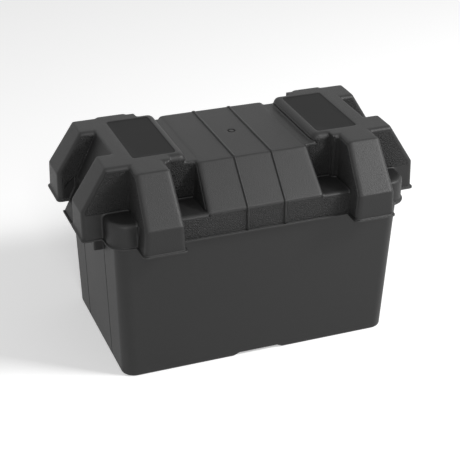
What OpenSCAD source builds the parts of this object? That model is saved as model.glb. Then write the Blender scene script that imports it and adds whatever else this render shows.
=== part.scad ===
// Moulded battery case: an open case body and the vented lid that lifts off it.
// Millimetres, +Z up. The origin is under the middle of the whole box, on the surface it stands on.
// X runs along the case and -Y is the front, where the two cable hoods are.
// The hoods reach further out than the back of the lid, so the case sits a little behind the origin.

/* [Case body] */
// Outer length of the case at its rim
case_length = 356; // [340:1:372]
// Outer width of the case at its rim
case_width = 216; // [208:1:228]
// Height of the rim above the surface that the case stands on
case_height = 205.5; // [190:0.5:240]
// How far each end wall leans in from the rim to the floor
end_draft = 8; // [5:0.5:12]
// How far each long wall leans in from the rim to the floor
side_draft = 6.5; // [4:0.5:9]
// Wall of the case
case_wall = 3; // [2.4:0.1:3.6]
// Floor of the case
floor_thickness = 3.5; // [3:0.1:5]
// Radius of the case's upright corners
case_corner_r = 16; // [12:1:18]
// Radius where the walls turn under to the floor
foot_r = 2.5; // [2:0.5:6]

/* [Strap path] */
// Clear width for the hold-down strap between the two ribs on the lid
strap_width = 44; // [36:1:54]
// Width of a strap rib
rib_width = 2.2; // [1.6:0.2:3]
// How far a strap rib stands out of the lid
rib_height = 1.8; // [1:0.1:2.4]
// Depth of the strap channel under the case
channel_depth = 3.9; // [1.5:0.1:3.9]
// Room beside the strap in the channel, on each side
channel_room = 2.7; // [1:0.1:5]
// How far each flank of the channel spreads towards the ground
channel_flare = 8; // [3:0.5:12]

/* [Hand grips] */
// Width of the grip, and of the panel that two grooves mark off on the end wall below it
grip_width = 98; // [80:1:120]
// Width of those grooves
groove_width = 1.6; // [1:0.2:2.4]
// Depth of those grooves
groove_depth = 0.8; // [0.4:0.1:1.2]
// How far the grip stands out of the end wall
grip_out = 12; // [10:0.5:14]
// Height of the grip
grip_height = 28; // [20:1:36]
// Gap between the top of the grip and the lid's lower edge
grip_gap = 1; // [0.6:0.1:3]
// Wall of the grip, which is hollow from below
grip_wall = 3; // [2.4:0.1:3.6]

/* [Inside the case] */
// Width of the battery that the side ribs hold central
battery_width = 173; // [160:1:178]
// Play between the battery and the side ribs, on each side
battery_play = 2; // [1:0.5:4]
// Height of the side ribs above the floor
side_rib_height = 110; // [60:5:140]
// Distance between neighbouring side ribs
side_rib_pitch = 90; // [60:5:100]
// Width of the ribs inside the case
inner_rib_width = 2.6; // [2:0.2:4]
// Height of the floor ribs that keep the battery off the floor
floor_rib_height = 3; // [2:0.5:5]

/* [Lid skirt] */
// Wall of the lid
lid_wall = 3; // [2.4:0.1:3.4]
// How far the skirt hangs down over the rim
skirt_overlap = 28; // [20:1:40]
// Play between the case and the skirt at each end
end_play = 2.5; // [1.5:0.1:4]
// Play between the case and the skirt at each side
side_play = 0.5; // [0.4:0.1:1.5]
// Radius of the skirt's upright corners
skirt_corner_r = 22; // [20:1:24]
// How far the middle of the skirt stands out past its corners
skirt_belly = 4; // [3:0.5:7]
// How far the bead round the lower edge stands out
bead_out = 2; // [1:0.5:3]
// Height of that bead
bead_height = 2.5; // [1.5:0.5:4]

/* [Lid hump] */
// Height of the middle hump above the skirt's ledge
hump_rise = 44; // [36:0.5:46]
// Width of the hump's flat top, front to back
hump_flat = 140; // [120:1:150]
// Length of the hump's top
hump_length = 138; // [130:1:142]
// How far each side of the hump spreads down to the ledge
hump_side_draft = 3.5; // [2:0.5:5]
// Depth of the valley between the hump and each dome
valley_depth = 0.5; // [0.5:0.5:8]

/* [Lid domes] */
// Height of the two end domes above the skirt's ledge
dome_rise = 53; // [49:0.5:60]
// Width of the valley between the hump's top and each dome
valley_width = 10; // [8:0.5:14]
// How far a dome's inner side spreads down to the ledge
dome_side_draft = 5; // [2:0.5:8]
// Width of a dome's top, front to back
dome_width = 126; // [116:1:130]
// How far the front and the back of a dome spread down to the ledge
dome_front_draft = 5.5; // [3:0.5:7]
// Slope of a dome's end, as the run from its top edge to the skirt
dome_end_run = 25.5; // [18:0.5:30]
// Length of the label recess on each dome
label_length = 108; // [80:1:112]
// Width of the label recess
label_width = 52; // [36:1:54]
// Distance of the label recess from the dome's edge beside the valley
label_margin = 9; // [3:1:10]
// Depth of the label recess
label_depth = 0.8; // [0.4:0.1:1.2]

/* [Cable hoods and buttresses] */
// Distance between the inner sides of the two cable hoods, at the top
hood_spacing = 216; // [212:1:222]
// Width of a cable hood at the top
hood_width = 42; // [36:1:44]
// How far each side of a hood spreads down to its lower edge
hood_draft = 3.5; // [2:0.5:5]
// How far a hood stands out past the front of the skirt
hood_reach = 21.5; // [15:0.5:28]
// Run of the hood's slope, from its top edge to its upright face
hood_run = 42; // [36:0.5:50]
// Height of the foot of a hood's slope above the ledge
slope_foot = 1.5; // [0:0.5:6]
// Run of the slope of the two buttresses at the back
buttress_run = 43.5; // [36:0.5:50]

/* [Vent hoods at the ends] */
// Gap between the two vent hoods of one end, at the top
vent_gap = 63; // [56:1:70]
// Width of a vent hood at the top
vent_width = 40.5; // [36:0.5:44]
// How far a vent hood's inner side spreads down to its lower edge
vent_inner_draft = 1.5; // [1:0.5:3]
// How far a vent hood's outer side spreads down to its lower edge
vent_outer_draft = 6; // [4:0.5:7]
// How far a vent hood stands out past the end of the skirt
vent_reach = 24; // [20:0.5:32]
// Run of the vent hood's slope
vent_run = 30.5; // [26:0.5:38]
// Height of the foot of that slope above the ledge
vent_foot = 4; // [0:0.5:6]

/* [Release tabs] */
// Height, above the lid's lower edge, at which a tab leaves the end wall
tab_rise = 23.5; // [20:0.5:25]
// How far a tab reaches below the lid's lower edge
tab_drop = 13.5; // [8:0.5:20]
// How far the tip of a tab stands out past the end of the skirt
tab_out = 18; // [14:0.5:24]

/* [Gate mark] */
// Radius of the round mark in the middle of the hump
gate_r = 3.4; // [2:0.2:6]
// Width and depth of the groove round the mark
gate_groove = 1.2; // [0.6:0.2:1.6]

/* [Hidden] */

// Plan of the case
rim_x = case_length / 2;
rim_y = case_width / 2;
floor_x = rim_x - end_draft;
floor_y = rim_y - side_draft;

// Heights of the lid
lid_base = case_height - skirt_overlap;
ledge_z = case_height + lid_wall;
hood_foot_z = ledge_z + slope_foot;
vent_foot_z = ledge_z + vent_foot;
hump_z = ledge_z + hump_rise;
dome_z = ledge_z + dome_rise;
valley_z = hump_z - valley_depth;

// Plan of the lid
skirt_x = rim_x + end_play + lid_wall;
skirt_y = rim_y + side_play + lid_wall;
belly_y = skirt_y + skirt_belly;
hood_y = belly_y + hood_reach;
vent_x = skirt_x + vent_reach;
hump_x = hump_length / 2;
dome_in_x = hump_x + valley_width;
dome_out_x = skirt_x - dome_end_run;
hood_in_x = hood_spacing / 2;
hood_mid_x = hood_in_x + hood_width / 2;
vent_in_y = vent_gap / 2;
vent_out_y = vent_in_y + vent_width;
rib_x = (strap_width + rib_width) / 2;
middle_y = (hood_y + bead_out - belly_y - max(bead_out, rib_height)) / 2;

// Places on the case
channel_half = strap_width / 2 + channel_room;
grip_top = lid_base - grip_gap;
grip_bottom = grip_top - grip_height;
grip_half = grip_width / 2;

arc_steps = 64;
past = 1;
reach = 2 * (vent_x + hood_y);

// Moves every side of a counter-clockwise outline in by t.
function side_normal(a, b) = let(d = (b - a) / norm(b - a)) [-d.y, d.x];
function inset(p, t) = [
    for (i = [0 : len(p) - 1])
        let(
            a = p[(i + len(p) - 1) % len(p)],
            c = p[(i + 1) % len(p)],
            n1 = side_normal(a, p[i]),
            n2 = side_normal(p[i], c)
        )
        p[i] + t * (n1 + n2) / (1 + n1 * n2)
];

// The open lower edge of a lid block: with its walls taken off, the cut runs out of the bottom.
function open_base(t) = lid_base - (t > 0 ? t + past : 0);

// Half-length of the case's end wall and half-width of its long wall, at height z.
function wall_x(z) = floor_x + end_draft * z / case_height;
function wall_y(z) = floor_y + side_draft * z / case_height;

module along_x(p, length) {
    translate([-length / 2, 0, 0])
        rotate([90, 0, 90])
            linear_extrude(height = length)
                polygon(p);
}

module along_y(p, length) {
    translate([0, length / 2, 0])
        rotate([90, 0, 0])
            linear_extrude(height = length)
                polygon(p);
}

module both_ends() {
    children();
    mirror([1, 0, 0])
        children();
}

module front_and_back() {
    children();
    mirror([0, 1, 0])
        children();
}

module rounded_plan(half_x, half_y, r) {
    square([2 * half_x, 2 * (half_y - r)], center = true);
    square([2 * (half_x - r), 2 * half_y], center = true);
    for (sx = [-1, 1], sy = [-1, 1])
        translate([sx * (half_x - r), sy * (half_y - r)])
            circle(r = r, $fn = arc_steps);
}

// A block with two sets of sloping sides: one outline seen from the end, one from the front.
// t takes the wall off every side, for the hollow inside.
module lid_block(from_end, from_front, t) {
    intersection() {
        along_x(inset(from_end, t), reach);
        along_y(inset(from_front, t), reach);
    }
}

// ---- Case body ----

module case_slice(z, back) {
    translate([0, 0, z])
        linear_extrude(height = 0.01)
            rounded_plan(wall_x(z) - back, wall_y(z) - back, case_corner_r - back);
}

module case_outside() {
    hull() {
        case_slice(0, foot_r);
        case_slice(0.35 * foot_r, 0.24 * foot_r);
        case_slice(foot_r, 0);
        case_slice(case_height - 0.01, 0);
    }
}

module case_inside() {
    hull() {
        case_slice(floor_thickness, case_wall + foot_r);
        case_slice(floor_thickness + 0.35 * foot_r, case_wall + 0.24 * foot_r);
        case_slice(floor_thickness + foot_r, case_wall);
        case_slice(case_height + past, case_wall);
    }
}

// The inner half of the case, up to the slope of the end wall.
module end_slab(z_low, z_high, half_width) {
    along_y(
        [
            [floor_x / 2, z_low],
            [wall_x(z_low), z_low],
            [wall_x(z_high), z_high],
            [floor_x / 2, z_high]
        ],
        2 * half_width
    );
}

// Each groove runs from the floor to the grip's lower edge and follows the slope of the end wall.
module end_grooves() {
    front_and_back()
        translate([0, grip_half - groove_width / 2, 0])
            along_y(
                [
                    [wall_x(-past) - groove_depth, -past],
                    [rim_x + past, -past],
                    [rim_x + past, grip_bottom],
                    [wall_x(grip_bottom) - groove_depth, grip_bottom]
                ],
                groove_width
            );
}

module grip_block(out, half_width, z_low, z_high) {
    tip_x = wall_x(grip_bottom) + out;
    along_y([[floor_x / 2, z_low], [tip_x, z_low], [tip_x, z_high], [floor_x / 2, z_high]], 2 * half_width);
}

module grip() {
    inner_half = grip_half - grip_wall;
    difference() {
        grip_block(grip_out, grip_half, grip_bottom, grip_top);
        difference() {
            grip_block(grip_out - grip_wall, inner_half, grip_bottom - past, grip_top - grip_wall);
            end_slab(grip_bottom - 2 * past, grip_top, grip_half);
        }
    }
}

module strap_channel() {
    along_y(
        [
            [-channel_half - channel_flare - past, -past * channel_depth / channel_flare],
            [channel_half + channel_flare + past, -past * channel_depth / channel_flare],
            [channel_half, channel_depth],
            [-channel_half, channel_depth]
        ],
        reach
    );
}

// Keeps the floor's full thickness over the strap channel.
module floor_bridge() {
    height = floor_thickness + channel_depth;
    half_x = channel_half + channel_flare;
    translate([-half_x, -floor_y + case_wall / 2, floor_thickness / 2])
        cube([2 * half_x, 2 * floor_y - case_wall, height - floor_thickness / 2]);
}

module side_ribs() {
    tip_y = battery_width / 2 + battery_play;
    depth = wall_y(side_rib_height) - case_wall / 2 - tip_y;
    for (i = [-1, 0, 1])
        translate([i * side_rib_pitch - inner_rib_width / 2, tip_y, floor_thickness / 2])
            cube([inner_rib_width, depth, side_rib_height + floor_thickness / 2]);
}

module floor_ribs() {
    top = floor_thickness + channel_depth + floor_rib_height;
    length = 2 * (floor_x - case_wall / 2);
    for (y = [battery_width / 8, 3 * battery_width / 8])
        translate([-length / 2, y - inner_rib_width / 2, floor_thickness / 2])
            cube([length, inner_rib_width, top - floor_thickness / 2]);
}

module case_body() {
    color([0.13, 0.13, 0.135]) {
        difference() {
            union() {
                difference() {
                    case_outside();
                    case_inside();
                }
                both_ends()
                    difference() {
                        grip();
                        case_inside();
                    }
                intersection() {
                    case_outside();
                    union() {
                        floor_bridge();
                        front_and_back() {
                            side_ribs();
                            floor_ribs();
                        }
                    }
                }
            }
            strap_channel();
            both_ends()
                end_grooves();
        }
    }
}

// ---- Lid ----
// Each outline is counter-clockwise. t is the wall taken off for the hollow, or 0 for the outside.

function hump_end(t) = [
    [-belly_y, open_base(t)], [belly_y, open_base(t)], [belly_y, ledge_z],
    [hump_flat / 2, hump_z], [-hump_flat / 2, hump_z], [-belly_y, ledge_z]
];
function hump_front(t) =
    let(foot = hump_x + hump_side_draft)
    [[-foot, open_base(t)], [foot, open_base(t)], [foot, ledge_z],
     [hump_x, hump_z], [-hump_x, hump_z], [-foot, ledge_z]];
function dome_end(t) =
    let(foot = dome_width / 2 + dome_front_draft)
    [[-foot, open_base(t)], [foot, open_base(t)], [foot, ledge_z],
     [dome_width / 2, dome_z], [-dome_width / 2, dome_z], [-foot, ledge_z]];
function dome_front(t) =
    let(valley_x = dome_in_x - dome_side_draft * (dome_z - valley_z) / dome_rise)
    [[-skirt_x, open_base(t)], [skirt_x, open_base(t)], [skirt_x, ledge_z],
     [dome_out_x, dome_z], [dome_in_x, dome_z], [valley_x, valley_z],
     [-valley_x, valley_z], [-dome_in_x, dome_z], [-dome_out_x, dome_z], [-skirt_x, ledge_z]];
function hood_end(t) = [
    [-hood_y, open_base(t)], [0, open_base(t)], [0, dome_z],
    [-hood_y + hood_run, dome_z], [-hood_y, hood_foot_z]
];
function hood_front(t) =
    let(spread = hood_draft * (dome_z - open_base(t)) / (dome_z - lid_base))
    [[hood_in_x - spread, open_base(t)], [hood_in_x + hood_width + spread, open_base(t)],
     [hood_in_x + hood_width, dome_z], [hood_in_x, dome_z]];
function buttress_end(t) = [
    [0, open_base(t)], [belly_y, open_base(t)], [belly_y, ledge_z],
    [belly_y - buttress_run, dome_z], [0, dome_z]
];
function vent_front(t) = [
    [hood_in_x, open_base(t)], [vent_x, open_base(t)], [vent_x, vent_foot_z],
    [vent_x - vent_run, dome_z], [hood_in_x, dome_z]
];
function vent_end(t) =
    let(
        share = (dome_z - open_base(t)) / (dome_z - lid_base),
        low_in = vent_in_y - vent_inner_draft * share,
        low_out = vent_out_y + vent_outer_draft * share
    )
    [[low_in, open_base(t)], [low_out, open_base(t)], [vent_out_y, dome_z], [vent_in_y, dome_z]];

// A sloping plate: the tab runs out and down from the end wall between the vent hoods.
tab_top_z = lid_base + tab_rise;
tab_tip_z = lid_base - tab_drop;
tab_tip_x = skirt_x + tab_out;
tab_span = norm([tab_out, tab_top_z - tab_tip_z]);
tab_level_wall = lid_wall * tab_span / (tab_top_z - tab_tip_z);
tab_half = vent_in_y - vent_inner_draft + lid_wall / 2;

module skirt_ring(t) {
    translate([0, 0, open_base(t)])
        linear_extrude(height = ledge_z - t - open_base(t))
            rounded_plan(skirt_x - t, skirt_y - t, skirt_corner_r - t);
}

module skirt_belly_bar(t) {
    half_y = belly_y - t;
    translate([-hood_mid_x, -half_y, open_base(t)])
        cube([2 * hood_mid_x, 2 * half_y, ledge_z - t - open_base(t)]);
}

// Everything that the lid is made of, as solid blocks, or as their hollows. The two domes are one
// block, because the floor of the valleys runs on under the hump.
module lid_blocks(t) {
    skirt_ring(t);
    skirt_belly_bar(t);
    lid_block(hump_end(t), hump_front(t), t);
    lid_block(dome_end(t), dome_front(t), t);
    both_ends() {
        lid_block(hood_end(t), hood_front(t), t);
        lid_block(buttress_end(t), hood_front(t), t);
        front_and_back()
            lid_block(vent_end(t), vent_front(t), t);
    }
}

// The outline of the lid's lower edge, moved out by e.
module lid_edge_plan(e) {
    hood_half = hood_width / 2 + hood_draft + e;
    vent_low_in = vent_in_y - vent_inner_draft - e;
    vent_low_out = vent_out_y + vent_outer_draft + e;
    rounded_plan(skirt_x + e, skirt_y + e, skirt_corner_r + e);
    square([2 * hood_mid_x, 2 * (belly_y + e)], center = true);
    for (s = [-1, 1])
        translate([s * hood_mid_x - hood_half, -hood_y - e])
            square([2 * hood_half, hood_y + belly_y + 2 * e]);
    for (s = [-1, 1])
        translate([-vent_x - e, (s * (vent_low_in + vent_low_out) - (vent_low_out - vent_low_in)) / 2])
            square([2 * (vent_x + e), vent_low_out - vent_low_in]);
}

module edge_bead() {
    translate([0, 0, lid_base])
        linear_extrude(height = bead_height)
            lid_edge_plan(bead_out);
}

module strap_ribs() {
    for (s = [-1, 1])
        translate([s * rib_x, 0, 0])
            intersection() {
                along_x(inset(hump_end(0), -rib_height), rib_width);
                translate([-rib_width, -reach / 2, lid_base])
                    cube([2 * rib_width, reach, reach]);
            }
}

module release_tab() {
    along_y(
        [
            [skirt_x - tab_level_wall, tab_top_z], [tab_tip_x - tab_level_wall, tab_tip_z],
            [tab_tip_x, tab_tip_z], [skirt_x, tab_top_z]
        ],
        2 * tab_half
    );
    translate([tab_tip_x - lid_wall / 2, -vent_in_y + vent_inner_draft, tab_tip_z])
        cube([lid_wall / 2 + bead_out, vent_gap - 2 * vent_inner_draft, bead_height]);
}

// The end wall behind a tab is cut away, so that the tab is the only wall there.
module behind_tab() {
    along_y(
        [
            [skirt_x - 3 * lid_wall, tab_tip_z], [tab_tip_x - tab_level_wall, tab_tip_z],
            [skirt_x - tab_level_wall, tab_top_z], [skirt_x - 3 * lid_wall, tab_top_z]
        ],
        vent_gap - 2 * vent_inner_draft
    );
}

module label_recess() {
    translate([dome_in_x + label_margin, -label_length / 2, dome_z - label_depth])
        cube([label_width, label_length, label_depth + past]);
}

module gate_mark_groove() {
    translate([0, 0, hump_z - gate_groove / 2])
        difference() {
            cylinder(r = gate_r + gate_groove, h = past + gate_groove / 2, $fn = arc_steps);
            translate([0, 0, -past])
                cylinder(r = gate_r, h = 3 * past + gate_groove, $fn = arc_steps);
        }
}

module lid() {
    color([0.16, 0.16, 0.16])
        difference() {
            union() {
                lid_blocks(0);
                edge_bead();
                strap_ribs();
                both_ends()
                    release_tab();
            }
            lid_blocks(lid_wall);
            both_ends() {
                behind_tab();
                label_recess();
            }
            gate_mark_groove();
        }
}

translate([0, middle_y, 0]) case_body();
translate([0, middle_y, 0]) lid();
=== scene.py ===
# %% [markdown]
# # A moulded battery box in Blender
# The object is a black polypropylene box for a boat or caravan battery. It is two mouldings:
# an open case, and a lid that lifts off it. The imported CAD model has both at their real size,
# with sharp edges, as a mould maker first draws them. A real moulding has no sharp edge:
# plastic shrinks and sticks in one, and a cutter leaves a radius in every inside corner.
# Those radii catch the light, so most of this lesson is about rounding edges well.

# %% Load the fixed frame
import math

import bpy
import numpy as np
from mathutils import Matrix, Vector


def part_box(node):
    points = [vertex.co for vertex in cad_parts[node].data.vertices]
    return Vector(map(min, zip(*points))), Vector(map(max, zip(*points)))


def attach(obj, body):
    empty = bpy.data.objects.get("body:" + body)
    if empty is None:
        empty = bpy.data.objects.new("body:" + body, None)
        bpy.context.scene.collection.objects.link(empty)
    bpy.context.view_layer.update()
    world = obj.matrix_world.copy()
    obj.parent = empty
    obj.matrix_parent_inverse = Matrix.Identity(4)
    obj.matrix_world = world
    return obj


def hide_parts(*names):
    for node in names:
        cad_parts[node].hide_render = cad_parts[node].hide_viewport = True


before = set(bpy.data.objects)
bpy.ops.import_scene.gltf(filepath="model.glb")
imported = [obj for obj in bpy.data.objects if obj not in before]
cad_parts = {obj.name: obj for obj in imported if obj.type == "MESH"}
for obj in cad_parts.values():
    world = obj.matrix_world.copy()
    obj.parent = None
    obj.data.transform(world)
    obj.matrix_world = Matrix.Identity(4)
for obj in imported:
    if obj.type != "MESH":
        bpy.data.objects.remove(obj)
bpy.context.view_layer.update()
case_low, case_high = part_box("case_body")
lid_low, lid_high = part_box("lid")
print("case", [round(v, 4) for v in (*case_low, *case_high)])
print("lid", [round(v, 4) for v in (*lid_low, *lid_high)])

# %% [markdown]
# ## The camera
# The photograph was taken from the front left, a little above the box, with a long lens.
# A camera needs a place, a direction, a roll and an angle of view. These came from matching the
# corners of the box with their places in the picture.

# %% Set the camera
view_dir = Vector((0.32222, 0.81976, -0.47346)).normalized()
camera_data = bpy.data.cameras.new("camera")
camera_data.sensor_fit = "HORIZONTAL"
camera_data.angle = math.radians(19.856)
camera = bpy.data.objects.new("camera", camera_data)
bpy.context.scene.collection.objects.link(camera)
turn = view_dir.to_track_quat("-Z", "Y").to_matrix().to_4x4() @ Matrix.Rotation(math.radians(0.80), 4, "Z")
camera.matrix_world = Matrix.Translation((-0.52696, -1.33025, 0.89183)) @ turn
bpy.context.scene.camera = camera
print("camera at", tuple(round(v, 3) for v in camera.location))

# %% [markdown]
# ## Shapes as distances
# The lid is a pile of blocks: a ledge, a hump, two domes and eight hoods. One could bevel the
# edges of the CAD mesh, but where four blocks meet a bevel tears. A surer way is to describe each
# block by a distance: a number for every point of space, negative inside the plastic, zero on its
# skin and positive outside. Rounding and joining are then sums on whole arrays, and the skin is
# read off at the end, where the distance is zero.
#
# A field is a pair: the distances, and the direction in which they grow.

# %% The grid, and the first fields
MM = 0.001


def ticks(start, *runs):
    """Grid lines from start on: each run is (end, widest step), split evenly."""
    lines = [np.array([start], float)]
    for end, step in runs:
        a = lines[-1][-1]
        lines.append(np.linspace(a, end, max(1, math.ceil((end - a) / step - 1e-9)) + 1)[1:])
    return np.concatenate(lines)


def use_grid(x, y, z):
    """Lays the three sets of lines along their own axes, so that sums spread them over the grid."""
    global X, Y, Z
    X = x.astype(np.float32)[:, None, None]
    Y = y.astype(np.float32)[None, :, None]
    Z = z.astype(np.float32)[None, None, :]


def face(axis, sign, low, high=None, z_low=0, z_high=1):
    """A flat face that looks along +axis or -axis, at low at height z_low and at high at z_high.
    d = sign (u - low - m (z - z_low)) / sqrt(1 + m m), where m = (high - low) / (z_high - z_low)."""
    m = 0 if high is None else (high - low) / (z_high - z_low)
    size = math.hypot(1, m)
    d = sign * ((X, Y)[axis] - low - m * (Z - z_low)) / size
    n = [0, 0, -sign * m / size]
    n[axis] = sign / size
    return d, n


def top(z):
    """A level face that looks up: d = Z - z."""
    return Z - z, [0, 0, 1]


def under(z):
    """A level face that looks down: d = z - Z."""
    return z - Z, [0, 0, -1]


def upright_plan(half_x, half_y, r, lean_x=0, lean_y=0):
    """Four walls round a rectangle with corners of radius r, which lean out by lean per unit of height.
    q = (|x|, |y|) - (half - r), and d = |max(q, 0)| + min(max(qx, qy), 0) - r."""
    qx = np.abs(X) - (half_x + lean_x * Z - r)
    qy = np.abs(Y) - (half_y + lean_y * Z - r)
    mx, my = np.maximum(qx, 0), np.maximum(qy, 0)
    reach = np.hypot(mx, my)
    d = reach + np.minimum(np.maximum(qx, qy), 0) - r
    corner = reach > 1e-6
    nx = np.where(corner, mx / (reach + 1e-9), qx > qy) * np.sign(X + 1e-6)
    ny = np.where(corner, my / (reach + 1e-9), qx <= qy) * np.sign(Y)
    return d, [nx, ny, 0]


print("fields: face, top, under, upright_plan")

# %% [markdown]
# ## Rounding that knows its angle
# Two fields meet in an edge. Taking the larger distance keeps what is inside both, and the smaller
# one joins them. A blend of width k rounds that edge. If k is r (1 - cos a), with a the angle
# between the two directions, the round starts at r tan(a / 2) from the edge, where a true
# fillet of radius r starts, whatever the angle. Faces that lie in one plane have a = 0, so they
# merge with no bump at all. That matters here, because all the hoods end level with the domes.

# %% Cut and join


def blend(a, b, r, sign):
    """The larger (sign 1) or smaller (sign -1) of two distances, rounded:
    k = r (1 - na . nb), h = clip(1/2 + sign (da - db) / 2k, 0, 1),
    d = db + h (da - db) + sign k h (1 - h)."""
    (da, na), (db, nb) = a, b
    k = r * (1 - sum(p * q for p, q in zip(na, nb))) + 1e-5
    h = np.clip(0.5 + sign * 0.5 * (da - db) / k, 0, 1)
    d = db + (da - db) * h + sign * k * h * (1 - h)
    n = [q + (p - q) * h for p, q in zip(na, nb)]
    size = np.sqrt(sum(c * c for c in n)) + 1e-6
    return d, [c / size for c in n]


def cut(r, first, *others):
    """What is inside all the fields, with outside edges of radius r."""
    for other in others:
        first = blend(first, other, r, 1)
    return first


def join(r, first, *others):
    """What is inside any of the fields, with inside corners of radius r."""
    for other in others:
        first = blend(first, other, r, -1)
    return first


def grow(field, t):
    """The same shape, t larger all round."""
    return field[0] - t, field[1]


def outside(field):
    """The space round a shape."""
    return -field[0], [-c for c in field[1]]


print("joins: cut, join, grow, outside")

# %% [markdown]
# ## From distances to a skin
# The skin crosses some cells of the grid. Each such cell gets one vertex, at the mean of the places
# where its edges cross zero, and each grid edge that crosses gets one quad between the four cells
# around it. This is known as surface nets. It gives even quads that follow a round closely, and
# flat faces come out exactly flat, so the grid may be wide there and fine only at the edges.

# %% Read off the skin


def surface_nets(d, lines):
    """One vertex for each crossed cell, at the mean of a + (b - a) da / (da - db) over its crossed
    edges, and one quad for each crossed grid edge, turned to face from inside to outside."""
    inside = d < 0
    cells = np.array(d.shape) - 1
    corners = [(i, j, k) for i in (0, 1) for j in (0, 1) for k in (0, 1)]
    part = [inside[i:cells[0] + i, j:cells[1] + j, k:cells[2] + k] for i, j, k in corners]
    crossed = np.logical_or.reduce(part) & ~np.logical_and.reduce(part)
    cell = np.argwhere(crossed)
    number = np.full(cells, -1, np.int64)
    number[tuple(cell.T)] = np.arange(len(cell))
    place, count = np.zeros((len(cell), 3)), np.zeros(len(cell))
    for corner in corners:
        for axis in range(3):
            if corner[axis]:
                continue
            a = cell + corner
            b = a.copy()
            b[:, axis] += 1
            da, db = d[tuple(a.T)], d[tuple(b.T)]
            hit = (da < 0) != (db < 0)
            p = np.stack([lines[q][a[:, q]] for q in range(3)], 1)
            step = lines[axis][b[:, axis]] - lines[axis][a[:, axis]]
            p[:, axis] += step * np.where(hit, da / np.where(hit, da - db, 1), 0)
            place[hit] += p[hit]
            count += hit
    quads = []
    for axis in range(3):
        u, v = (axis + 1) % 3, (axis + 2) % 3
        low, high = [slice(1, -1)] * 3, [slice(1, -1)] * 3
        low[axis], high[axis] = slice(0, -1), slice(1, None)
        edge = np.argwhere(inside[tuple(low)] != inside[tuple(high)])
        edge[:, u] += 1
        edge[:, v] += 1
        ring = []
        for du, dv in ((1, 1), (0, 1), (0, 0), (1, 0)):
            at = edge.copy()
            at[:, u] -= du
            at[:, v] -= dv
            ring.append(number[tuple(at.T)])
        ring = np.stack(ring, 1)
        turned = ~inside[tuple(edge.T)]
        ring[turned] = ring[turned][:, ::-1]
        quads.append(ring)
    return place / count[:, None], np.concatenate(quads)


def mesh_object(name, points, quads):
    """Puts whole arrays of points, in metres, and quads into a new smooth mesh."""
    mesh = bpy.data.meshes.new(name)
    mesh.vertices.add(len(points))
    mesh.vertices.foreach_set("co", points.astype(np.float32).ravel())
    mesh.loops.add(quads.size)
    mesh.loops.foreach_set("vertex_index", quads.astype(np.int32).ravel())
    mesh.polygons.add(len(quads))
    mesh.polygons.foreach_set("loop_start", np.arange(0, quads.size, quads.shape[1], dtype=np.int32))
    mesh.polygons.foreach_set("use_smooth", np.ones(len(quads), bool))
    mesh.update(calc_edges=True)
    mesh.validate()
    made = bpy.data.objects.new(name, mesh)
    bpy.context.scene.collection.objects.link(made)
    return made


def thin_out(piece, most):
    """Collapses the shortest edges until at most that many triangles are left."""
    have = sum(len(p.vertices) - 2 for p in piece.data.polygons)
    if have > most:
        change = piece.modifiers.new("thin_out", "DECIMATE")
        change.ratio = most / have
        bpy.context.view_layer.update()
        done = bpy.data.meshes.new_from_object(piece.evaluated_get(bpy.context.evaluated_depsgraph_get()))
        piece.modifiers.clear()
        piece.data = done
    print(piece.name, "triangles", have, "->", sum(len(p.vertices) - 2 for p in piece.data.polygons))


middle_y = 10.75


def skin(name, field, lines, most):
    """Mirrors the half field at x = 0, reads off its skin and thins it."""
    x, y, z = lines
    d = field[0] + np.zeros((len(x), len(y), len(z)), np.float32)
    whole = np.concatenate([d[:0:-1], d])
    x = np.concatenate([-x[:0:-1], x])
    points, quads = surface_nets(whole, (x, y, z))
    piece = mesh_object(name, (points + [0, middle_y, 0]) * MM, quads)
    thin_out(piece, most)
    return piece


print("ready to make skins")

# %% [markdown]
# ## The lid's blocks
# The sizes are the CAD model's. Every side leans a little, because a moulding has to leave its mould.
# The skirt is a ring round the rim with a level ledge, a hump fills the middle, a dome stands at
# each end, and hoods run down from the domes: two at the front for the cables, two short buttresses
# at the back, and two at each end for air. Only the right half is worked out, and then mirrored.

# %% Heights and the grid of the lid
lid_base, ledge, hump_top, spine_top, dome_top = 177.5, 208.5, 252.5, 252.0, 261.5
edge_round, slope_round, inside_round, dome_round, spine_round = 6.5, 3.5, 2.2, 9, 3
skirt_x, skirt_y = 183.5, 115.5

lid_lines = (
    ticks(0, (6, 0.6), (64.8, 3.5), (93, 1.0), (103, 2.2), (113, 1.0), (134, 3.5),
          (158, 1.0), (176, 1.7), (187, 1.0), (196, 1.5), (211, 0.9)),
    ticks(-141, (-130, 1.0), (-118, 2.2), (-105, 1.2), (-92, 1.4), (-80, 1.8), (-50, 1.1),
          (-36, 2.2), (-27, 1.0), (-7, 3), (7, 0.7), (27, 3), (36, 1.0), (50, 2.2), (82, 1.1),
          (104, 1.6), (120, 1.0)),
    ticks(161, (168, 0.9), (175.5, 1.4), (182, 0.65), (200, 2.4), (214, 1.0), (241, 1.9),
          (256.4, 0.9), (262.4, 0.6)),
)
use_grid(*lid_lines)
print("lid grid", [len(line) for line in lid_lines])

# %% The blocks of the lid
flush_sides = cut(0.1, face(0, 1, 129), face(1, 1, skirt_y), face(1, -1, -skirt_y))
skirt = join(1, upright_plan(skirt_x, 111.5, 22), flush_sides)
skirt = cut(6, skirt, top(ledge))

hump_slopes = [face(1, s, s * skirt_y, s * 70, ledge, hump_top) for s in (1, -1)]
hump = cut(slope_round, top(hump_top), *hump_slopes)
hump = cut(7, hump, face(1, 1, skirt_y))
hump = cut(7, hump, face(1, -1, -skirt_y))
hump = cut(edge_round, hump, face(0, 1, 72.5, 69, ledge, hump_top))

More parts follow.
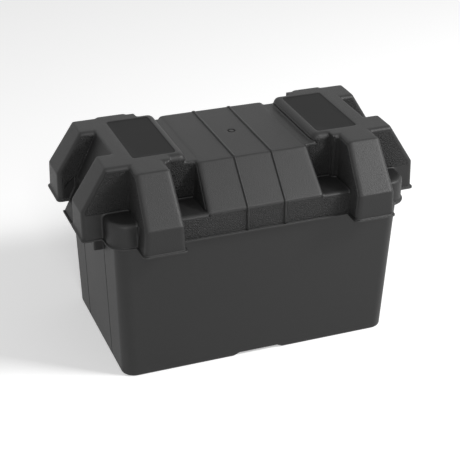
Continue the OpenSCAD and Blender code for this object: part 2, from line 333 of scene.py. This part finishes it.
dome_fronts = [face(1, s, s * 68.5, s * 63, ledge, dome_top) for s in (1, -1)]
spine = cut(spine_round, top(spine_top), *dome_fronts, face(0, 1, 90))
dome = cut(slope_round, top(dome_top), face(0, 1, skirt_x, 158, ledge, dome_top), face(0, 1, skirt_x))
dome = cut(dome_round, dome, *dome_fronts, face(0, -1, 74, 79, ledge, dome_top))

hood_sides = [face(0, 1, 153.5, 150, lid_base, dome_top), face(0, -1, 104.5, 108, lid_base, dome_top)]
hood = cut(slope_round, top(dome_top), face(1, -1, -137, -95, 210, dome_top), face(1, -1, -137))
hood = cut(0.1, cut(edge_round, hood, *hood_sides), face(1, 1, 20))
buttress = cut(slope_round, top(dome_top), face(1, 1, skirt_y, 72, ledge, dome_top), face(1, 1, skirt_y))
buttress = cut(0.1, cut(edge_round, buttress, *hood_sides), face(1, -1, -20))
vent = cut(slope_round, top(dome_top), face(0, 1, 207.5, 177, 212.5, dome_top), face(0, 1, 207.5))
vent = cut(0.1, vent, face(0, -1, 100))
vents = [
    cut(edge_round, vent, face(1, s, s * 78, s * 72, lid_base, dome_top),
        face(1, -s, s * 30, s * 31.5, lid_base, dome_top))
    for s in (1, -1)
]
blocks = join(inside_round, skirt, hump, spine, dome, hood, buttress, *vents)
blocks = cut(0.1, blocks, top(dome_top))
print("blocks of the lid: skirt, hump, spine, dome, hood, buttress, 2 vents, and the mirror half")

# %% [markdown]
# ## From solid blocks to a moulding
# The hollow inside is the same field moved in by the wall, so the wall is even all over, as a mould
# maker wants it. A bead runs round the lower edge, and the release tab is a leaning plate in front
# of a gap in the end wall. The label recesses stay bare. The small ring in the middle is where the
# plastic was let into the mould.

# %% Hollow, bead, tab and recesses
lid_wall = 3.0
bead = cut(0.6, grow(blocks, 2), top(lid_base + 2.5), under(lid_base))
lid_field = join(0.8, cut(1, blocks, under(lid_base)), bead)
lid_field = cut(0.8, lid_field, outside(grow(blocks, -lid_wall)))

tab_foot = 164
tab_face = face(0, 1, 201.5, skirt_x, tab_foot, 201)
tab_room = [face(1, 1, 30), face(1, -1, -30)]
behind = cut(0.3, grow(tab_face, -lid_wall), face(0, -1, 174.5), top(201), *tab_room)
tab = cut(0.8, tab_face, outside(grow(tab_face, -lid_wall)), under(tab_foot), top(201.5),
          face(1, 1, 31.5), face(1, -1, -31.5))
lip = cut(0.8, face(0, 1, 203.5), face(0, -1, 199), under(tab_foot), top(tab_foot + 2.5), *tab_room)
lid_field = join(0.8, cut(0.8, lid_field, outside(behind)), tab, lip)

label = cut(5, face(0, -1, 88), face(0, 1, 140), face(1, 1, 54), face(1, -1, -54))
label = cut(0.3, label, under(dome_top - 0.8))
lid_field = cut(0.4, lid_field, outside(label))
gate_r = 4
from_gate = np.hypot(X, Y)
gate_side = np.sign(from_gate - gate_r) / (from_gate + 1e-6)
gate_ring = np.abs(from_gate - gate_r) - 0.8, [X * gate_side, Y * gate_side, 0]
gate = cut(0.2, gate_ring, under(hump_top - 0.9))
lid_field = cut(0.3, lid_field, outside(gate))
lid_skin = skin("lid_moulding", lid_field, lid_lines, 190000)
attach(lid_skin, "lid")
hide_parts("lid")

# %% [markdown]
# ## The strap ribs
# Two low ribs run over the lid from front to back and keep the hold-down strap between them. A
# rib is one small profile carried along a path, so it is worked out that way: the path is the
# outline of the hump seen from the end, and the profile is a strip with a rounded crown whose foot
# is sunk in the lid.

# %% Carry the rib's profile along its path


def carried(profile, path):
    """Every point of the profile (sideways, outwards) at every point of the path (y, z), where
    outwards is square to the path: p(i, j) = path(j) + side(i) x + out(i) n(j). The ends are closed."""
    along = np.gradient(path, axis=0)
    along /= np.linalg.norm(along, axis=1)[:, None]
    normal = np.stack([-along[:, 1], along[:, 0]], 1)
    side, out = profile.T
    n, m = len(profile), len(path)
    points = np.empty((m, n, 3))
    points[:, :, 0] = side
    points[:, :, 1:] = path[:, None] + out[None, :, None] * normal[:, None]
    i, j = np.meshgrid(np.arange(n), np.arange(m - 1))
    a, b = j * n + i, j * n + (i + 1) % n
    quads = np.stack([a, b, b + n, a + n], -1).reshape(-1, 4)
    k = np.arange(1, n // 2)
    cap = np.stack([k - 1, k, n - 1 - k, n - k], 1)
    return points.reshape(-1, 3), np.concatenate([quads, cap[:, ::-1], cap + (m - 1) * n])


def rounded_path(corners, r, count=9):
    """A path through the corners, each one replaced by a curve that starts r before it and ends r after
    it: p(t) = (1 - t)^2 a + 2 t (1 - t) c + t^2 b."""
    corners = np.array(corners, float)
    t = np.linspace(0, 1, count)[:, None]
    bends = []
    for before, corner, after in zip(corners, corners[1:], corners[2:]):
        a = corner + r * (before - corner) / np.linalg.norm(before - corner)
        b = corner + r * (after - corner) / np.linalg.norm(after - corner)
        bends.append((1 - t) ** 2 * a + 2 * t * (1 - t) * corner + t ** 2 * b)
    return np.concatenate([corners[:1], *bends, corners[-1:]])


half_path = [(skirt_y, lid_base), (skirt_y, ledge), (70, hump_top)]
rib_path = rounded_path(half_path + [(-y, z) for y, z in half_path[::-1]], 3)
rib_half, rib_foot = 1.1, -1.2
crown = np.linspace(0, math.pi, 9)
rib_profile = np.stack([rib_half * np.cos(crown), 0.9 + 0.9 * np.sin(crown)], 1)
rib_profile = np.concatenate([[(rib_half, rib_foot)], rib_profile, [(-rib_half, rib_foot)]])[::-1]
rib_points, rib_quads = carried(rib_profile, rib_path)
both_points = np.concatenate([rib_points + [s * 23.1, middle_y, 0] for s in (-1, 1)])
both_quads = np.concatenate([rib_quads, rib_quads + len(rib_points)])
strap_ribs = mesh_object("strap_ribs", both_points * MM, both_quads)
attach(strap_ribs, "lid")
print("strap ribs", len(both_quads), "quads")

# %% [markdown]
# ## The case
# The case is one leaning wall round a rounded rectangle, with a floor, so one field of the same kind
# makes it. Each end has a hand grip, hollow from below, and two fine grooves that run down from it
# to the floor. A shallow channel for the strap crosses the underside, and low ribs inside keep the
# battery in place.

# %% The case as one field
rim, case_wall, floor = 205.5, 3.0, 3.5
channel_depth, grip_half = 3.9, 49
case_lines = (
    ticks(0, (1.9, 0.65), (22, 4), (34, 1.0), (88, 4), (92.2, 0.7), (150, 4), (160, 1.5),
          (168, 1.0), (179, 0.8), (189, 0.9)),
    ticks(-110, (-84, 1.2), (-67, 4), (-62.6, 0.75), (-50.5, 3), (-46, 0.4), (-43, 1.1),
          (-24, 3), (-19.5, 0.75), (19.5, 4), (24, 0.75), (43, 3), (46, 1.1), (50.5, 0.4),
          (62.6, 3), (67, 0.75), (84, 4), (110, 1.2)),
    ticks(-1, (12.5, 0.75), (106, 7), (112, 1.0), (146, 5), (150.5, 0.75), (171, 3),
          (178, 0.75), (202.5, 4), (206.7, 0.7)),
)
use_grid(*case_lines)
walls = upright_plan(170, 101.5, 16, 8 / rim, 6.5 / rim)
end_wall = face(0, 1, 170, 178, 0, rim)
channel = cut(0.1, face(0, 1, 32.7, 24.7, 0, channel_depth), top(channel_depth))

case_field = cut(3.2, walls, under(0))
for side in (1, -1):
    groove = cut(0.1, face(1, side, side * grip_half), face(1, -side, side * (grip_half - 1.6)),
                 outside(grow(end_wall, -0.8)), top(150))
    case_field = cut(0.3, case_field, outside(groove))
grip_tip = 187.78
grip = cut(1.5, face(0, 1, grip_tip), face(1, 1, grip_half), face(1, -1, -grip_half),
           top(176.5), under(148.5))
grip_hollow = cut(1, face(0, 1, grip_tip - 3), face(1, 1, grip_half - 3), face(1, -1, 3 - grip_half),
                  top(173.5), outside(end_wall))
case_field = join(1.2, case_field, cut(0.6, grip, outside(grip_hollow)))

# %% [markdown]
# The inside is the same wall moved in, above the floor. What is left standing in it is taken from the
# hollow before the hollow is taken from the case: the floor over the strap channel, four floor
# ribs that keep the battery off the floor, and six side ribs that keep it in the middle.

# %% Hollow the case and leave its ribs
bridge = cut(0.5, face(0, 1, 32.7), top(floor + channel_depth))
rib_thick = 2.6
side_ribs = [
    cut(0.6, face(1, -s, s * 88.5), face(1, s, s * 125), top(floor + 110),
        face(0, 1, x + rib_thick / 2), face(0, -1, x - rib_thick / 2))
    for s in (1, -1) for x in (0, 90)
]
floor_ribs = [
    cut(0.6, top(floor + channel_depth + 3), face(1, 1, y + rib_thick / 2), face(1, -1, y - rib_thick / 2))
    for y in (-64.875, -21.625, 21.625, 64.875)
]
hollow = cut(2.5, grow(walls, -case_wall), under(floor))
hollow = cut(0.8, hollow, outside(join(0.8, bridge, *side_ribs, *floor_ribs)))
case_field = cut(0.8, case_field, top(rim), outside(hollow), outside(channel))
case_skin = skin("case_moulding", case_field, case_lines, 120000)
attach(case_skin, "case_body")
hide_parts("case_body")

# %% [markdown]
# ## Black polypropylene
# Black plastic is hardly seen by its own colour, which gives back about a hundredth of the light. What
# shows is the sheen of its skin: a mirror of the room, blurred by the grain of the mould. So the finish is
# mostly roughness and bump. This lid has three skins: fine and matt on the tops and slopes, a
# coarse spark-eroded grain on the recessed steep walls, and a dull, smooth one in the label recesses.
#
# Where a skin belongs is worked out once for each vertex and stored on the mesh as an
# attribute. A material then only has to mix by it. The same goes for the painted highlight along the
# edges, a lighter colour that follows how sharply the surface bends there. Grain belongs on steep walls
# that stand back, so the outermost walls, which hands and shelves touch, have none.

# %% Store where each skin belongs


def vertex_table(piece):
    """The places and normals of a piece's vertices, and the two ends of its edges, as whole arrays."""
    mesh = piece.data
    places, normals = np.empty(len(mesh.vertices) * 3), np.empty(len(mesh.vertices) * 3)
    ends = np.empty(len(mesh.edges) * 2, np.int64)
    mesh.vertices.foreach_get("co", places)
    mesh.vertices.foreach_get("normal", normals)
    mesh.edges.foreach_get("vertices", ends)
    return places.reshape(-1, 3), normals.reshape(-1, 3), ends.reshape(-1, 2)


def bend(places, normals, ends):
    """How sharply the surface bends outwards at each vertex, in 1/metre:
    the mean over its edges of (na - nb) . (pa - pb) / |pa - pb|^2."""
    a, b = ends.T
    step = places[a] - places[b]
    value = np.sum((normals[a] - normals[b]) * step, 1) / (np.sum(step * step, 1) + 1e-12)
    n = len(places)
    total = np.bincount(a, value, n) + np.bincount(b, value, n)
    return total / np.maximum(np.bincount(a, minlength=n) + np.bincount(b, minlength=n), 1)


def store(piece, name, values):
    """One number for each vertex, under a name that a material can read."""
    piece.data.attributes.new(name, "FLOAT", "POINT").data.foreach_set("value", values.astype(np.float32))


def smooth_step(low, high, v):
    """t = clip((v - low) / (high - low), 0, 1), and t t (3 - 2 t)."""
    t = np.clip((v - low) / (high - low), 0, 1)
    return t * t * (3 - 2 * t)


for piece in (lid_skin, strap_ribs, case_skin):
    places, normals, ends = vertex_table(piece)
    x, y, z = places.T / MM
    y = y - middle_y
    # how sharply the surface bends; the material paints a highlight where it bends most
    edge = smooth_step(60, 300, bend(places, normals, ends))
    store(piece, "edge", edge)
    steep = 1 - smooth_step(0.18, 0.34, np.abs(normals[:, 2]))
    outermost = np.maximum(smooth_step(201, 204, np.abs(x)), smooth_step(131, 134, -y))
    outermost = np.maximum(outermost, smooth_step(107, 110, y))
    outermost = np.maximum(outermost, (np.hypot(x, y) > 190) * (z < ledge + 1))
    grained = steep * (1 - outermost) * (z > lid_base + 2.6) * (piece is lid_skin)
    store(piece, "steep", grained)
    in_label = (np.abs(np.abs(x) - 114) < 26.2) & (np.abs(y) < 54.2)
    in_label &= (z > dome_top - 1.2) & (z < dome_top - 0.4)
    in_gate = (np.abs(np.hypot(x, y) - gate_r) < 1.0) & (piece is lid_skin)
    in_gate &= (z < hump_top - 0.15) & (z > hump_top - 1.2)
    store(piece, "label", (in_label | in_gate).astype(float))
    print(piece.name, "edge share", round(float(edge.mean()), 3), "in the label", int(in_label.sum()))

# %% The plastic's nodes


def plastic(name, depth, matt, grain, sheen):
    """A Principled material. Its roughness is the matt value, moved a little and pitted by the attribute
    steep, and towards dull by the attribute label. Its bump is a fine grain plus a coarse one where
    it is steep, and none in the label."""
    made = bpy.data.materials.new(name)
    made.use_nodes = True
    tree = made.node_tree
    new, link = tree.nodes.new, tree.links.new
    shader = tree.nodes["Principled BSDF"]
    shader.inputs["Specular IOR Level"].default_value = sheen
    shader.inputs["IOR"].default_value = 1.49
    place = new("ShaderNodeTexCoord").outputs["Object"]

    def read(attribute):
        node = new("ShaderNodeAttribute")
        node.attribute_name = attribute
        return node.outputs["Fac"]

    def noise(scale, detail, rough=0.5):
        node = new("ShaderNodeTexNoise")
        node.inputs["Scale"].default_value = scale
        node.inputs["Detail"].default_value = detail
        node.inputs["Roughness"].default_value = rough
        link(place, node.inputs["Vector"])
        return node.outputs["Fac"]

    def sum_up(operation, a, b, c=None):
        node = new("ShaderNodeMath")
        node.operation = operation
        for socket, value in zip(node.inputs, (a, b, c)):
            if value is None:
                continue
            if isinstance(value, (int, float)):
                socket.default_value = value
            else:
                link(value, socket)
        return node.outputs[0]

    def mix(factor, a, b):
        node = new("ShaderNodeMix")
        node.data_type = "RGBA"
        link(factor, node.inputs["Factor"])
        for socket, value in ((node.inputs[6], a), (node.inputs[7], b)):
            if isinstance(value, tuple):
                socket.default_value = (*value, 1)
            else:
                link(value, socket)
        return node.outputs[2]

    steep_part, label_part, edge_part = read("steep"), read("label"), read("edge")
    cloud = noise(9, 3)
    # painted highlight: the base colour is made lighter along sharply bent edges, standing in for the
    # light that rounded edges catch
    painted_edge_highlight = sum_up("MULTIPLY", edge_part, noise(90, 4, 0.65))
    colour = mix(cloud, (depth * 0.8,) * 3, (depth * 1.2,) * 3)
    colour = mix(painted_edge_highlight, colour, (depth * 2.2,) * 3)
    colour = mix(label_part, colour, (depth * 0.6,) * 3)
    link(colour, shader.inputs["Base Color"])
    rough = sum_up("MULTIPLY_ADD", cloud, 0.08, matt - 0.04)
    pits = sum_up("MULTIPLY", steep_part, sum_up("SUBTRACT", noise(1100, 1), 0.5))
    rough = sum_up("MULTIPLY_ADD", pits, 0.6, rough)
    rough = sum_up("MULTIPLY_ADD", steep_part, 0.05, rough)
    rough = sum_up("MULTIPLY_ADD", label_part, 0.45, rough)
    link(rough, shader.inputs["Roughness"])
    fine = sum_up("MULTIPLY", noise(900, 3, 0.6), 1.5)
    coarse = sum_up("MULTIPLY", noise(700, 2, 0.7), sum_up("MULTIPLY", steep_part, 34))
    height = sum_up("MULTIPLY", sum_up("ADD", fine, coarse), sum_up("SUBTRACT", 1, label_part))
    bump = new("ShaderNodeBump")
    bump.inputs["Strength"].default_value = grain
    bump.inputs["Distance"].default_value = 0.0003
    link(height, bump.inputs["Height"])
    link(bump.outputs["Normal"], shader.inputs["Normal"])
    return made


lid_plastic = plastic("lid_finish", depth=0.006, matt=0.5, grain=0.6, sheen=0.42)
case_plastic = plastic("case_finish", depth=0.006, matt=0.5, grain=0.36, sheen=0.42)
for piece, material in ((lid_skin, lid_plastic), (strap_ribs, lid_plastic), (case_skin, case_plastic)):
    piece.data.materials.clear()
    piece.data.materials.append(material)
for node, material in (("lid", lid_plastic), ("case_body", case_plastic)):
    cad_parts[node].data.materials.clear()
    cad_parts[node].data.materials.append(material)
print("materials:", lid_plastic.name, case_plastic.name)

# %% [markdown]
# ## Floor, background and light
# The box stood in a white studio, and its skin mirrors that room. The background is white to the
# camera, and to every ray that is mirrored or passes through, so that the plastic shows the same
# room as the picture does. What lights the box is weaker: a grey sky and two soft boxes. The
# floor is plain, pale and matt, and keeps the box's shadow.

# %% Make the studio
sky_level, floor_glow = 0.3, 0.35


def shown(new, link):
    """1 for a ray that shows the background, which comes from the camera, is mirrored or passes
    through. Otherwise 0."""
    ray = new("ShaderNodeLightPath")
    total = ray.outputs["Is Camera Ray"]
    for kind in ("Is Glossy Ray", "Is Transmission Ray"):
        more = new("ShaderNodeMath")
        more.operation = "MAXIMUM"
        link(total, more.inputs[0])
        link(ray.outputs[kind], more.inputs[1])
        total = more.outputs[0]
    return total


scene = bpy.context.scene
scene.view_settings.view_transform = "Standard"
world = bpy.data.worlds.new("studio")
scene.world = world
world.use_nodes = True
tree = world.node_tree
new, link = tree.nodes.new, tree.links.new
background = tree.nodes["Background"]
level = new("ShaderNodeMix")
link(shown(new, link), level.inputs["Factor"])
level.inputs["A"].default_value = sky_level
level.inputs["B"].default_value = 1
link(level.outputs["Result"], background.inputs["Strength"])
background.inputs["Color"].default_value = (1, 1, 1, 1)

bpy.ops.mesh.primitive_plane_add(size=12)
floor_plane = bpy.context.object
floor_plane.name = "floor"
pale = bpy.data.materials.new("pale_floor")
pale.use_nodes = True
tree = pale.node_tree
new, link = tree.nodes.new, tree.links.new
shader = tree.nodes["Principled BSDF"]
shader.inputs["Base Color"].default_value = (0.88, 0.88, 0.88, 1)
shader.inputs["Roughness"].default_value = 0.9
shader.inputs["Specular IOR Level"].default_value = 0
glow = new("ShaderNodeMath")
glow.operation = "MULTIPLY"
glow.inputs[1].default_value = floor_glow
link(shown(new, link), glow.inputs[0])
shader.inputs["Emission Color"].default_value = (1, 1, 1, 1)
link(glow.outputs[0], shader.inputs["Emission Strength"])
floor_plane.data.materials.append(pale)


def soft_box(name, place, aim, width, height, power):
    """A rectangular lamp at place that looks at aim."""
    lamp = bpy.data.lights.new(name, "AREA")
    lamp.shape = "RECTANGLE"
    lamp.size, lamp.size_y, lamp.energy = width, height, power
    made = bpy.data.objects.new(name, lamp)
    scene.collection.objects.link(made)
    made.location = place
    made.rotation_euler = (Vector(aim) - Vector(place)).to_track_quat("-Z", "Y").to_euler()
    return made


soft_box("soft_box_right", (1.6, -1.1, 1.6), (0, 0, 0.2), 0.6, 0.5, 48)
soft_box("soft_box_front", (-0.6, -1.9, 1.4), (0, 0, 0.2), 0.5, 0.4, 14)
